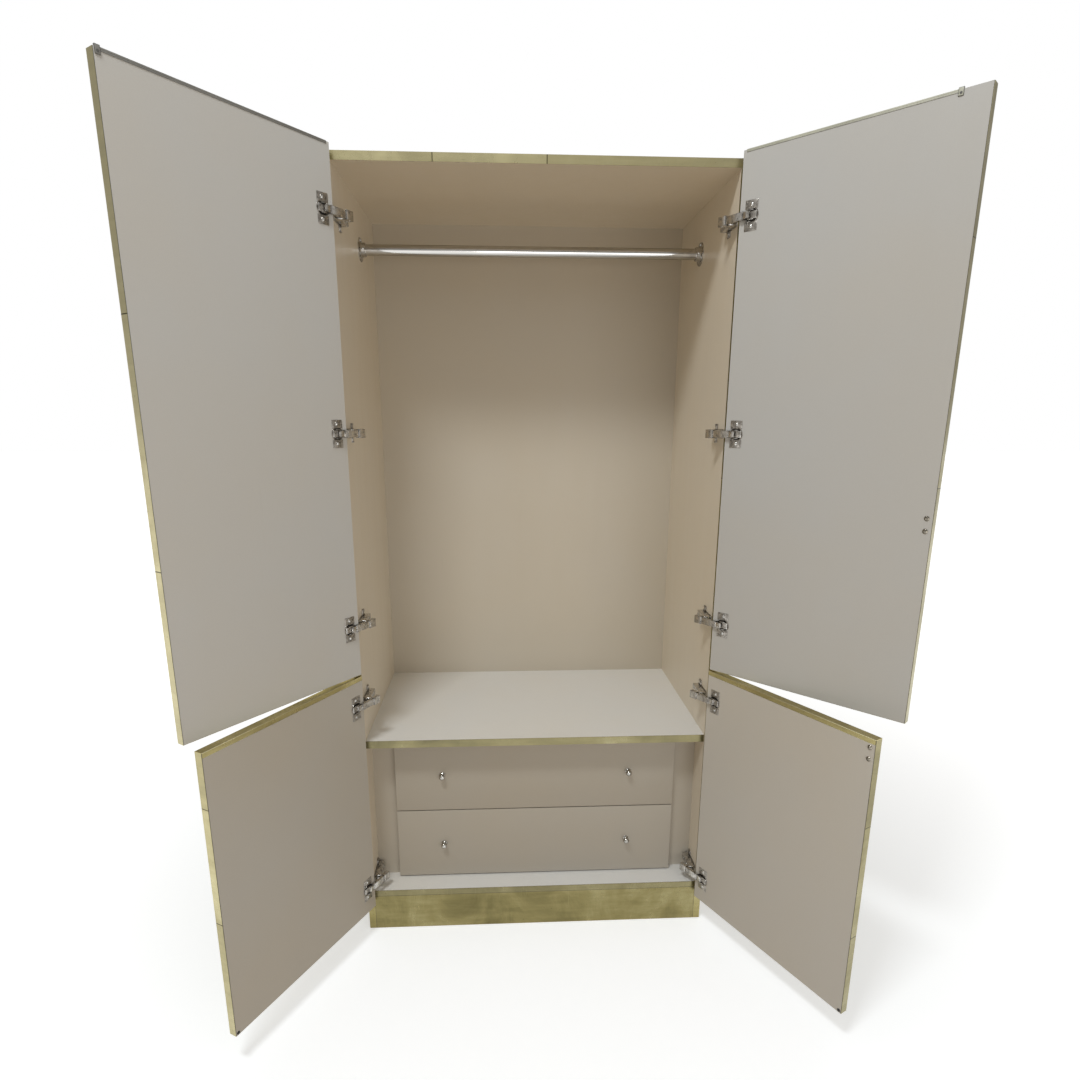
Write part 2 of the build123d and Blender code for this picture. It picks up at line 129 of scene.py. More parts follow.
def mapped(tree, coords, scale=(1, 1, 1), turn=(0, 0, 0)):
    node = tree.nodes.new("ShaderNodeMapping")
    node.inputs["Scale"].default_value = scale
    node.inputs["Rotation"].default_value = [radians(v) for v in turn]
    tree.links.new(coords, node.inputs["Vector"])
    return node.outputs["Vector"]


def noise(tree, coords, scale, detail=3.0, rough=0.5, distortion=0.0):
    node = tree.nodes.new("ShaderNodeTexNoise")
    node.inputs["Scale"].default_value = scale
    node.inputs["Detail"].default_value = detail
    node.inputs["Roughness"].default_value = rough
    node.inputs["Distortion"].default_value = distortion
    tree.links.new(coords, node.inputs["Vector"])
    return node.outputs["Fac"]


def ramp(tree, value, stops):
    node = tree.nodes.new("ShaderNodeValToRGB")
    elements = node.color_ramp.elements
    while len(elements) < len(stops):
        elements.new(0.5)
    for element, (position, colour) in zip(elements, stops):
        element.position = position
        element.color = (*colour, 1)
    tree.links.new(value, node.inputs["Fac"])
    return node.outputs["Color"]


def grey(value):
    return (value, value, value)


def spread(tree, value, fromLow, fromHigh, toLow, toHigh):
    node = tree.nodes.new("ShaderNodeMapRange")
    node.inputs["From Min"].default_value = fromLow
    node.inputs["From Max"].default_value = fromHigh
    node.inputs["To Min"].default_value = toLow
    node.inputs["To Max"].default_value = toHigh
    tree.links.new(value, node.inputs["Value"])
    return node.outputs["Result"]


def mixed(tree, factor, first, second, blend="MIX"):
    node = tree.nodes.new("ShaderNodeMix")
    node.data_type = "RGBA"
    node.blend_type = blend
    for key, item in ((0, factor), (6, first), (7, second)):
        if isinstance(item, (float, int)):
            node.inputs[key].default_value = item
        elif isinstance(item, tuple):
            node.inputs[key].default_value = (*item, 1)
        else:
            tree.links.new(item, node.inputs[key])
    return node.outputs[2]


def maths(tree, operation, first, second):
    node = tree.nodes.new("ShaderNodeMath")
    node.operation = operation
    for key, item in ((0, first), (1, second)):
        if isinstance(item, (float, int)):
            node.inputs[key].default_value = item
        else:
            tree.links.new(item, node.inputs[key])
    return node.outputs["Value"]


def bump(tree, shader, height, strength, distance):
    node = tree.nodes.new("ShaderNodeBump")
    node.inputs["Strength"].default_value = strength
    node.inputs["Distance"].default_value = distance
    tree.links.new(height, node.inputs["Height"])
    tree.links.new(node.outputs["Normal"], shader.inputs["Normal"])


laminate = {
    "pale": (0.565, 0.560, 0.540),
    "warm": (0.590, 0.520, 0.410),
    "scuff": (0.41, 0.37, 0.31),
    "roughness": (0.34, 0.46),
    "gloss": 0.42,
    "grain": 0.05,
    "grainDepth": 0.0004,
    "drift": 0.25,  # how much warmer its warm clouds are
}


def laminateMaterial(name, shade=1.0, warmth=0.0):
    material, tree, shader, coords = newMaterial(name)
    cool = Vector(laminate["pale"])
    warm = cool.lerp(Vector(laminate["warm"]), min(1.0, warmth + laminate["drift"])) * shade
    pale = cool.lerp(Vector(laminate["warm"]), warmth) * shade
    clouds = noise(tree, coords, 1.6, 4.0, 0.55)
    tone = ramp(tree, clouds, [(0.35, tuple(warm)), (0.65, tuple(pale))])
    speckle = noise(tree, coords, 700.0, 2.0, 0.6)
    fleck = ramp(tree, speckle, [(0.30, grey(0.965)), (0.62, grey(1.0))])
    tone = mixed(tree, 1.0, tone, fleck, "MULTIPLY")
    rubbed = noise(tree, mapped(tree, coords, (9, 9, 0.9), (0, 6, 4)), 2.3, 5.0, 0.6, 0.4)
    marks = ramp(tree, rubbed, [(0.70, grey(0.0)), (0.84, grey(0.35))])
    tone = mixed(tree, marks, tone, tuple(Vector(laminate["scuff"]) * shade))
    tree.links.new(tone, shader.inputs["Base Color"])
    low, high = laminate["roughness"]
    tree.links.new(spread(tree, rubbed, 0.3, 0.75, low, high), shader.inputs["Roughness"])
    shader.inputs["Specular IOR Level"].default_value = laminate["gloss"]
    bump(tree, shader, speckle, laminate["grain"], laminate["grainDepth"])
    return material


brass = {
    "deep": (0.175, 0.148, 0.058),
    "middle": (0.335, 0.285, 0.120),
    "bright": (0.56, 0.50, 0.265),
    "stain": (0.085, 0.074, 0.036),
    "pale": (0.72, 0.68, 0.50),
    "roughness": (0.20, 0.46),
    "seamWidth": 0.0011,
    "cloudShare": 0.68,  # the rest of the mottling is wipe marks
    "dent": (0.10, 0.0015),
}


def brassMaterial(name, seams=(), seamAxis=2, shade=1.0, patchShift=0.16, paleSheen=0.0):
    material, tree, shader, coords = newMaterial(name)
    shader.inputs["Metallic"].default_value = 1.0
    clouds = noise(tree, mapped(tree, coords, (1, 1, 0.8), (12, 0, 20)), 5.5, 8.0, 0.62, 0.7)
    wipes = noise(tree, mapped(tree, coords, (2.2, 2.2, 14), (0, 28, 8)), 3.0, 6.0, 0.6, 0.3)
    cloudPart = maths(tree, "MULTIPLY", clouds, brass["cloudShare"])
    wipePart = maths(tree, "MULTIPLY", wipes, 1 - brass["cloudShare"])
    mottle = maths(tree, "ADD", cloudPart, wipePart)
    if seams:
        axis = tree.nodes.new("ShaderNodeSeparateXYZ")
        tree.links.new(coords, axis.inputs["Vector"])
        along = axis.outputs[seamAxis]
        for count, place in enumerate(seams):
            above = maths(tree, "GREATER_THAN", along, place)
            step = patchShift if count % 2 == 0 else -patchShift
            mottle = maths(tree, "ADD", mottle, maths(tree, "MULTIPLY", above, step))
    stops = []
    # shade makes each copy lighter or darker, and paleSheen pulls it towards pale brass as a painted sheen
    for place, key in ((0.30, "deep"), (0.50, "middle"), (0.74, "bright")):
        colour = (Vector(brass[key]) * shade).lerp(Vector(brass["pale"]), paleSheen)
        stops.append((place, tuple(colour)))
    tone = ramp(tree, mottle, stops)
    specks = noise(tree, coords, 190.0, 3.0, 0.7)
    speckMask = ramp(tree, specks, [(0.66, grey(0.0)), (0.74, grey(0.8))])
    tone = mixed(tree, speckMask, tone, brass["stain"])
    hairlines = noise(tree, mapped(tree, coords, (260, 260, 5), (0, 17, 0)), 2.0, 2.0, 0.7)
    scratchMask = ramp(tree, hairlines, [(0.68, grey(0.0)), (0.76, grey(0.30))])
    tone = mixed(tree, scratchMask, tone, tuple(Vector(brass["bright"]) * 1.1))
    for place in seams:
        gap = maths(tree, "ABSOLUTE", maths(tree, "SUBTRACT", along, place), 0.0)
        line = maths(tree, "LESS_THAN", gap, brass["seamWidth"])
        tone = mixed(tree, line, tone, brass["stain"])
    smooth, rough = brass["roughness"]
    tree.links.new(tone, shader.inputs["Base Color"])
    tree.links.new(spread(tree, clouds, 0.3, 0.7, rough, smooth), shader.inputs["Roughness"])
    bump(tree, shader, clouds, *brass["dent"])
    return material


def metalMaterial(name, colour, dark, roughness, scale=60.0, brushAndReflectionStretch=(1, 1, 1)):
    material, tree, shader, coords = newMaterial(name)
    shader.inputs["Metallic"].default_value = 1.0
    # on most metals this noise is wear; stretched along the rail's chrome it paints dark reflection streaks
    wearAndReflectionStreaks = noise(tree, mapped(tree, coords, brushAndReflectionStretch), scale, 5.0, 0.6)
    tree.links.new(ramp(tree, wearAndReflectionStreaks, [(0.28, dark), (0.58, colour)]), shader.inputs["Base Color"])
    tree.links.new(spread(tree, wearAndReflectionStreaks, 0.3, 0.7, roughness * 1.5, roughness * 0.8), shader.inputs["Roughness"])
    bump(tree, shader, wearAndReflectionStreaks, 0.05, 0.0003)
    return material


def plasticMaterial(name, colour, roughness):
    material, tree, shader, coords = newMaterial(name)
    grain = noise(tree, coords, 260.0, 4.0, 0.6)
    dust = noise(tree, coords, 9.0, 5.0, 0.6)
    pale = tuple(min(1.0, value * 1.35 + 0.01) for value in colour)
    tree.links.new(ramp(tree, dust, [(0.4, colour), (0.75, pale)]), shader.inputs["Base Color"])
    tree.links.new(spread(tree, grain, 0.3, 0.7, roughness, roughness * 1.25), shader.inputs["Roughness"])
    bump(tree, shader, grain, 0.12, 0.0004)
    return material


# one almond laminate in lit and shaded copies, with painted light and shade: the case and shelf lighter, the back,
# drawers and fillers darker, each door lighter or darker by how the light falls on it, and the lower doors given a
# painted warm cast for light thrown up off the floor
caseLaminate = laminateMaterial("caseLaminate", 1.22, 0.85)
backLaminate = laminateMaterial("backLaminate", 0.88, 0.85)
shelfLaminate = laminateMaterial("shelfLaminate", 1.38, 0.0)
doorLaminate = {"upper_left": laminateMaterial("upperLeftLaminate", 0.96, 0.0),
                "upper_right": laminateMaterial("upperRightLaminate", 0.84, 0.0),
                "lower_left": laminateMaterial("lowerLeftLaminate", 0.84, 0.36),
                "lower_right": laminateMaterial("lowerRightLaminate", 0.96, 0.30)}
drawerLaminate = laminateMaterial("drawerLaminate", 0.73, 0.6)
fillerLaminate = laminateMaterial("fillerLaminate", 0.80, 0.65)
# one brass in lit and shaded copies, with painted light and shade: the top and the caps lighter and paler where
# the light falls on them, the plinth and shelf edges darker, and each door's brass lighter or darker by how it
# faces the light
caseBrass = brassMaterial("caseBrass", (0.74, 1.36), 2)
topBrass = brassMaterial("topBrass", (-0.25, 0.02), 0, 1.25, 0.06, 0.30)
plinthBrass = brassMaterial("plinthBrass", (), 0, 0.80, 0.0, 0.02)
edgeBrass = brassMaterial("edgeBrass", (), 0, 0.60, 0.0, 0.12)
seamHeights = {"upper_left": (1.21, 1.70), "upper_right": (1.37, 1.86), "lower_left": (0.40, 0.69),
               "lower_right": (0.31, 0.605)}
# per door: painted shade, the patch shift between sheets, then painted pale sheen
doorBrassLightAndShade = {"upper_left": (1.20, 0.08, 0.36), "upper_right": (0.80, 0.08, 0.20),
            "lower_left": (1.10, 0.08, 0.22), "lower_right": (0.72, 0.08, 0.12)}
doorBrass = {door: brassMaterial(door + "_brass", seamHeights[door], 2, *doorBrassLightAndShade[door])
             for door in doorNames}
capBrass = brassMaterial("capBrass", (), 0, 1.5, 0.0, 0.10)
# pale brass for the caps' rolled edge, a painted highlight line
hemHighlightBrass = brassMaterial("hemHighlightBrass", (), 0, 1.5, 0.0, 0.55)
# the rail's chrome carries dark streaks along its length, painted reflection lines
chrome = metalMaterial("railChrome", (0.60, 0.585, 0.56), (0.17, 0.16, 0.145), 0.10, 30.0, (0.05, 5, 5))
nickel = metalMaterial("hingeNickel", (0.66, 0.64, 0.61), (0.24, 0.225, 0.205), 0.22, 120.0)
nickelPlate = metalMaterial("plateNickel", (0.44, 0.41, 0.37), (0.13, 0.12, 0.105), 0.30, 150.0)
# near-black nickel put in the hinges' recesses as painted shade: behind the cups, at the links' closed ends and
# inserts, and in the arms' slots
paintedShadeNickel = metalMaterial("hingeShade", (0.085, 0.08, 0.075), (0.03, 0.028, 0.026), 0.40, 120.0)
screwSteel = metalMaterial("screwSteel", (0.66, 0.65, 0.62), (0.34, 0.33, 0.31), 0.24, 140.0)
boltSteel = metalMaterial("boltSteel", (0.30, 0.27, 0.22), (0.10, 0.09, 0.07), 0.16, 200.0)
knobChrome = metalMaterial("knobChrome", (0.52, 0.50, 0.46), (0.20, 0.19, 0.17), 0.12, 120.0)
runnerSteel = metalMaterial("runnerSteel", (0.62, 0.62, 0.61), (0.40, 0.40, 0.39), 0.32, 70.0, (1, 0.1, 1))
# dark plastic for the strips' lips and clips, also used for the painted shadow line along each door's brass edge
darkPlasticAndShadowLine = plasticMaterial("darkPlasticAndShadowLine", (0.085, 0.083, 0.078), 0.38)
stripTone = {"upper_left": plasticMaterial("stripGrey", (0.190, 0.186, 0.172), 0.36),
             "upper_right": plasticMaterial("stripOlive", (0.400, 0.400, 0.325), 0.40)}
seamShade = plasticMaterial("seamShade", (0.060, 0.052, 0.030), 0.5)
bumperRubber = plasticMaterial("bumperRubber", (0.016, 0.015, 0.014), 0.62)
pullBrass = metalMaterial("pullBrass", (0.58, 0.50, 0.26), (0.34, 0.28, 0.13), 0.24, 40.0)
print("materials made")

# the CAD nodes that stay get their finish
nodeFinish = {
    "left_side_panel": caseLaminate, "right_side_panel": caseLaminate, "top_panel": caseLaminate,
    "bottom_deck": shelfLaminate, "fixed_shelf": shelfLaminate, "back_panel": backLaminate,
    "plinth_board": caseLaminate, "deck_support": caseLaminate, "drawer_fillers": fillerLaminate,
    "drawer_partitions": caseLaminate, "left_side_cladding": caseBrass, "right_side_cladding": caseBrass,
    "top_cladding": topBrass, "plinth_cladding": plinthBrass, "edge_strips": edgeBrass,
    "case_screws": screwSteel, "drawer_outer_runners": runnerSteel,
}
for door in doorNames:
    nodeFinish[door + "_door_panel"] = doorLaminate[door]
    nodeFinish[door + "_door_cladding"] = doorBrass[door]
for door in doorNames[2:]:
    nodeFinish[door + "_door_cap"] = capBrass
for level in ("lower", "upper"):
    for part in ("sides", "ends", "bottom"):
        nodeFinish[f"{level}_drawer_{part}"] = drawerLaminate
    nodeFinish[f"{level}_drawer_runners"] = runnerSteel
for nodeName, material in nodeFinish.items():
    mesh = cadNodes[nodeName].data
    mesh.materials.clear()
    mesh.materials.append(material)
print("boards and cladding finished")


# places worked out from the joints
# a leaf's faces and hinge edge are measured from the hinge axis
leaf = {"inner": 0.015, "outer": -0.007, "hingeEdge": -0.008, "endGap": 0.0015}
hinge = {
    "linkStart": (0.030, 0.0085),
    "linkLength": 0.086,
    "linkSize": (0.0080, 0.0180),
    "cupInset": 0.022,
    "cupRadius": 0.0175,
    "cupDepth": 0.0122,
    "plateWidth": 0.032,
    "plateHeight": 0.068,
    "plateGauge": 0.0014,
    "screwSpread": 0.024,
    "screw": (0.0040, 0.0015),  # radius and height of its head
}


def doorSide(door):
    return joints[door + "_hinge"]["axis"][2]


def restTurn(door):
    return radians(-joints[door + "_hinge"]["range_deg"][0])


def leafMatrix(door):
    # local X runs along the leaf from the hinge axis, local Y points at the case when shut
    side = doorSide(door)
    pivot = Vector(joints[door + "_hinge"]["pos_m"])
    pivot.z = 0
    flip = Matrix.Diagonal((-side, 1, 1, 1))
    return Matrix.Translation(pivot) @ Matrix.Rotation(side * restTurn(door), 4, "Z") @ flip


def hingeHeights(door):
    low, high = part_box(door + "_hinge_cups")
    half = hinge["plateHeight"] / 2
    ends = [low.z + half, high.z - half]
    return [ends[0], sum(ends) / 2, ends[1]] if door.startswith("upper") else ends


def runMatrix(door, height, setBack):
    # local Y runs back into the case along the hinge link, local X points at the case's middle
    side = doorSide(door)
    slide = Vector(joints[door + "_link_slide"]["axis"])
    along = -slide
    across = Vector((-side * along.y, side * along.x, 0))
    pivot = Vector(joints[door + "_hinge"]["pos_m"])
    tip = Vector((pivot.x - side * hinge["linkStart"][0], pivot.y + hinge["linkStart"][1], height))
    basis = Matrix((across, along, Vector((0, 0, 1)))).transposed().to_4x4()
    return Matrix.Translation(tip + along * setBack) @ basis


def linkTravel(door):
    for coupling in record["behaviour"]["couplings"]:
        if coupling["joint"] == door + "_link_slide":
            return coupling["ratio"] * restTurn(door)
    return 0.0


def addScrewHead(bm, centre, axis, radius, height):
    # a domed head with a round recess in its top
    profile = [(0, height * 0.45), (radius * 0.26, height * 0.45), (radius * 0.30, height),
               (radius * 0.72, height * 0.86), (radius, height * 0.30), (radius, 0), (0, 0)]
    return addSpun(bm, profile, centre, axis, 20)


def addPin(bm, radius, reach, centre, steps):
    # a plain upright pin, reach being half its length
    profile = [(0, -reach), (radius, -reach), (radius, reach), (0, reach)]
    return addSpun(bm, profile, centre, (0, 0, 1), steps)


cup = {
    "rib": (0.0018, 0.0007, 0.0025),  # width, rise and distance from the ends of its wing
    "ribSink": 0.0003,
    "ribPlace": 0.78,  # share of the wing's half width
    "wingStart": 0.80,  # share of the cup's radius
    "cheek": (-0.0070, 0.0080),  # along the leaf from the cup's middle
    "cheekHeights": (0.0095, 0.0109),
    "cheekDepths": (-0.0030, 0.0084),
    "block": (-0.0086, 0.0150),
    "blockDepths": (-0.0050, 0.0045),
    "blockHalf": 0.0084,
    "backPlate": (-0.0134, -0.0118),
    "backPlateDepths": (-0.0100, 0.0020),
    "backPlateHalf": 0.0105,
}


def makeCups(door):
    bm = bmesh.new()
    x, face = hinge["cupInset"], leaf["inner"]
    top = face + hinge["plateGauge"]
    radius, depth = hinge["cupRadius"], hinge["cupDepth"]
    half = hinge["plateWidth"] / 2
    bowl = [(0, -depth), (radius - 0.0005, -depth), (radius - 0.0002, 0.0004), (radius + 0.0010, 0.0012),
            (radius + 0.0006, 0.0022), (radius - 0.0012, 0.0020), (radius - 0.0018, -0.0010),
            (radius - 0.0026, -depth + 0.0020), (radius - 0.0050, -depth + 0.0010), (0, -depth + 0.0010)]
    screwRing = [(0.0044, 0), (0.0062, 0), (0.0056, 0.0008), (0.0044, 0.0008), (0.0044, 0)]
    ribWide, ribRise, ribEnd = cup["rib"]

    def alongLeaf(spans, depths, low, high, bevel, segments, material):
        addBox(bm, (x + spans[0], face + depths[0], low), (x + spans[1], face + depths[1], high),
               bevel, segments, material)

    for z in hingeHeights(door):
        addSpun(bm, bowl, (x, face, z), (0, 1, 0), 40)
        for end in (-1, 1):
            low, high = sorted((z + end * radius * cup["wingStart"], z + end * hinge["plateHeight"] / 2))
            addBox(bm, (x - half, face, low), (x + half, top, high), 0.0007)
            for rib in (-1, 1):
                middle = x + rib * half * cup["ribPlace"]
                addBox(bm, (middle - ribWide / 2, top - cup["ribSink"], low + ribEnd),
                       (middle + ribWide / 2, top + ribRise, high - ribEnd), 0.0004)
            addSpun(bm, screwRing, (x, top, z + end * hinge["screwSpread"]), (0, 1, 0), 24)
            # cheek of the pressed box that the link swings in
            low, high = sorted(z + end * height for height in cup["cheekHeights"])
            alongLeaf(cup["cheek"], cup["cheekDepths"], low, high, 0.0006, 2, 2)
        # the back plate behind the cup is dark painted shade
        alongLeaf(cup["backPlate"], cup["backPlateDepths"], z - cup["backPlateHalf"],
                  z + cup["backPlateHalf"], 0.0005, 1, 1)
        # block over the cup, which the bar meets when the door is open
        alongLeaf(cup["block"], cup["blockDepths"], z - cup["blockHalf"], z + cup["blockHalf"], 0.0012, 3, 2)
    piece = finishPiece(bm, door + "_cups", door + "_door", [nickelPlate, paintedShadeNickel, nickel],
                        leafMatrix(door))
    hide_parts(door + "_hinge_cups")


pull = {
    "inset": 0.4855,
    "spacing": 0.028,
    "reach": 0.0028,
    "width": 0.014,
    "height": 0.044,
    "thick": 0.0042,
    "edge": 0.0014,
    "boltHead": [(0, 0.0030), (0.0028, 0.0028), (0.0046, 0.0020), (0.0056, 0.0006), (0.0056, 0), (0, 0)],
}


def pullBolts(door):
    low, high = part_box(door + "_door_pull")
    middle = (low.z + high.z) / 2
    return [(pull["inset"], middle + end * pull["spacing"] / 2) for end in (-1, 1)]


def makeDoorScrews(door):
    bm = bmesh.new()
    x = hinge["cupInset"]
    top = leaf["inner"] + hinge["plateGauge"]
    for z in hingeHeights(door):
        for end in (-1, 1):
            addScrewHead(bm, (x, top, z + end * hinge["screwSpread"]), (0, 1, 0), *hinge["screw"])
    if door.endswith("right"):
        for boltX, boltZ in pullBolts(door):
            addSpun(bm, pull["boltHead"], (boltX, leaf["inner"], boltZ), (0, 1, 0), 28, 1)
    piece = finishPiece(bm, door + "_screw_heads", door + "_door", [screwSteel, boltSteel],
                        leafMatrix(door))
    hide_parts(door + "_door_screws")


def makePull(door):
    bm = bmesh.new()
    bolts = pullBolts(door)
    middle = sum(z for x, z in bolts) / 2
    outer, reach = leaf["outer"], pull["reach"]
    post = [(0, 0), (0.0058, 0), (0.0058, 0.0006), (0.0050, 0.0012), (0.0048, reach * 0.7),
            (0.0052, reach + 0.0002), (0, reach + 0.0002)]
    for x, z in bolts:
        addSpun(bm, post, (x, outer, z), (0, -1, 0), 28)
    halfWide, halfTall = pull["width"] / 2, pull["height"] / 2
    addBox(bm, (pull["inset"] - halfWide, outer - reach - pull["thick"], middle - halfTall),
           (pull["inset"] + halfWide, outer - reach, middle + halfTall), pull["edge"], 4)
    piece = finishPiece(bm, door + "_pull", door + "_door", [pullBrass], leafMatrix(door))
    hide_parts(door + "_door_pull")


link = {
    "wall": 0.0016,
    "channelStart": 0.0160,
    "tongueWeb": (0.0010, 0.0026),
    "tongueLip": -0.0012,
    "tongueHeights": (0.0062, 0.0076),
    "tongueSpan": (0.0010, 0.0170),
    "prongs": (-0.0027, 0.0003),
    "prongHeights": (0.0022, 0.0060),
    "prongLength": 0.0220,
    "insert": (0.0180, 0.0300),
    "insertMargin": (0.0006, 0.0018),
    "endWall": 0.0015,
    "pin": (0.0022, 0.0002, 0.0225),  # radius, then its place across and along the bar
    "pinStand": 0.0003,
    "tipPin": (0.0015, -0.0012, 0.0025),
    "tipPinReach": 0.0064,
}


def makeLinks(door):
    # the pressed channel that carries the door, with its folded edges and its pins
    bm = bmesh.new()
    width, tall = hinge["linkSize"]
    web, half, length = width / 2, tall / 2, hinge["linkLength"]
    start, wall = link["channelStart"], link["wall"]
    innerWeb, outerWeb = link["tongueWeb"]
    near, far = link["tongueSpan"]
    tongueHalf = link["tongueHeights"][1]
    inner, outer = link["prongs"]
    narrow, wide = link["insertMargin"]
    for z in hingeHeights(door):
        made = []
        made += addBox(bm, (web - wall, start, -half), (web, length, half), 0.0006)
        made += addBox(bm, (innerWeb, near, -tongueHalf), (outerWeb, far, tongueHalf), 0.0006)
        for end in (-1, 1):
            low, high = sorted((end * half, end * (half - wall)))
            made += addBox(bm, (-web, start, low), (web, length, high), 0.0006)
            low, high = sorted(end * height for height in link["tongueHeights"])
            made += addBox(bm, (link["tongueLip"], near, low), (outerWeb, far, high), 0.0005)
        # the closed end and the insert below are dark painted shade inside the channel
        made += addBox(bm, (-web, start, -half), (web, start + link["endWall"], half), 0.0004, 1, 1)
        for end in (-1, 1):
            low, high = sorted(end * height for height in link["prongHeights"])
            made += addBox(bm, (inner, 0, low), (outer, link["prongLength"], high), 0.0007)
        made += addBox(bm, (-web + narrow, link["insert"][0], -half + wide),
                       (web - wide, link["insert"][1], half - wide), 0.0006, 2, 1)
        radius, offset, along = link["pin"]
        made += addPin(bm, radius, half + link["pinStand"], (offset, along, 0), 16)
        radius, offset, along = link["tipPin"]
        made += addPin(bm, radius, link["tipPinReach"], (offset, along, 0), 12)
        bmesh.ops.transform(bm, matrix=runMatrix(door, z, -linkTravel(door)), verts=list(set(made)))
    piece = finishPiece(bm, door + "_links", door + "_links", [nickel, paintedShadeNickel])
    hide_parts(door + "_hinge_links")


arm = {
    "size": (0.0120, 0.0220),
    "start": 0.0175,
    "length": 0.023,
    "wall": 0.0014,
    "pin": (0.0030, 0.0150),  # radius, and distance from the arm's tip
    "pinStand": 0.0006,
    "neckReach": 0.0273,
    "neckDepth": 0.0120,
    "neckHalf": 0.0090,
    "setBack": 0.0005,  # the neck and body start this far behind the plate's end
    "body": (0.0180, 0.0200),
    "bodyEnd": 0.0020,
    "slot": (0.0360, 0.0480),
    "slotHalf": 0.0030,
    "slotRise": 0.0003,
    "adjusters": (0.0240, 0.0580),
    "adjusterScrew": (0.0038, 0.0012),
    "plateGauge": 0.0020,
    "wing": (0.0200, 0.0500),
    "wingPlace": 0.0600,
    "tail": 0.024,
    "screwSpread": 0.016,
    "wingScrew": (0.0042, 0.0018),
    "tab": (0.0035, 0.0005, 0.0030, 0.0050),  # two ends from the wing's end, rise and half width
}


def makeArm(bm, door, z):
    width, tall = arm["size"]
    half, reach = width / 2, tall / 2
    start, wall = arm["start"], arm["wall"]
    finish = start + arm["length"]
    made = addBox(bm, (half - wall, start, -reach), (half, finish, reach), 0.0005)
    made += addBox(bm, (-half, start, -reach), (-half + wall, finish, reach), 0.0005)
    for end in (-1, 1):
        low, high = sorted((end * reach, end * (reach - wall)))
        made += addBox(bm, (-half, start, low), (half, finish, high), 0.0005)
    radius, along = arm["pin"]
    made += addPin(bm, radius, reach + arm["pinStand"], (0, start + along, 0), 16)
    bmesh.ops.transform(bm, matrix=runMatrix(door, z, 0), verts=list(set(made)))


def addAcross(bm, reaches, depths, heights, bevel, segments=2, material=0):
    # a box whose sideways reaches may come in either order
    low, high = zip(sorted(reaches), depths, heights)
    addBox(bm, low, high, bevel, segments, material)


def makeArms():
    bm, plate, screws = bmesh.new(), bmesh.new(), bmesh.new()
    plateLow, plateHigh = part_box("hinge_mounting_plates")
    front, rear = plateLow.y, plateHigh.y
    wingAt = front + arm["wingPlace"]
    wingWide, wingTall = arm["wing"][0] / 2, arm["wing"][1] / 2
    bodyOut, bodyHalf = arm["body"][0], arm["body"][1] / 2
    tail = arm["tail"] / 2
    bodyFront = front + arm["setBack"]
    bodyDepths = (bodyFront, rear - arm["bodyEnd"])
    slotDepths = [front + depth for depth in arm["slot"]]
    screwRing = [(0.0045, 0), (0.0066, 0), (0.0060, 0.0010), (0.0045, 0.0010), (0.0045, 0)]
    for door in doorNames:
        side = doorSide(door)
        skin = side * plateHigh.x
        face = skin - side * arm["plateGauge"]
        bodyFace = face - side * bodyOut
        inwards = (-side, 0, 0)
        for z in hingeHeights(door):
            makeArm(bm, door, z)
            # neck from the arm to its body, then the body with its slot and adjusting screws
            addAcross(bm, (face, skin - side * arm["neckReach"]), (bodyFront, bodyFront + arm["neckDepth"]),
                      (z - arm["neckHalf"], z + arm["neckHalf"]), 0.0010)
            addAcross(bm, (face, bodyFace), bodyDepths, (z - bodyHalf, z + bodyHalf), 0.0022, 3)
            # the slot is dark painted shade
            addAcross(bm, (bodyFace, bodyFace - side * arm["slotRise"]), slotDepths,
                      (z - arm["slotHalf"], z + arm["slotHalf"]), 0.0001, 1, 1)
            for depth in arm["adjusters"]:
                addScrewHead(screws, (bodyFace, front + depth, z), inwards, *arm["adjusterScrew"])
            addAcross(plate, (skin, face), (wingAt - wingWide, wingAt + wingWide),
                      (z - wingTall, z + wingTall), 0.0007)
            addAcross(plate, (skin, face), (front, rear), (z - tail, z + tail), 0.0007)
            for end in (-1, 1):
                spot = (face, wingAt, z + end * arm["screwSpread"])
                addSpun(plate, screwRing, spot, inwards, 20)
                addScrewHead(screws, spot, inwards, *arm["wingScrew"])
                inset, margin, rise, half = arm["tab"]
                heights = sorted((z + end * (wingTall - inset), z + end * (wingTall - margin)))
                addAcross(plate, (face, face - side * rise), (wingAt - half, wingAt + half), heights, 0.0006)
    piece = finishPiece(bm, "hinge_arm_set", "carcass", [nickel, paintedShadeNickel])
    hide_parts("hinge_arms")
    piece = finishPiece(plate, "hinge_plate_set", "carcass", [nickelPlate])
    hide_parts("hinge_mounting_plates")
    finishPiece(screws, "hinge_plate_screws", "carcass", [screwSteel])


for door in doorNames:
    makeCups(door)
    makeDoorScrews(door)
    makeLinks(door)
    if door.endswith("right"):
        makePull(door)
makeArms()
print("hinges and pulls made")

# hanging rail and its flanges
rail = {
    "wall": 0.0015,
    "play": 0.0002,
    "flangePlate": 0.003,
    "collar": 0.019,
    "collarDepth": 0.016,
    "screwRing": 0.0255,
    "screw": (0.0040, 0.0014),
    "grubPlace": 0.0105,
    "grubScrew": (0.0028, 0.0010),
}


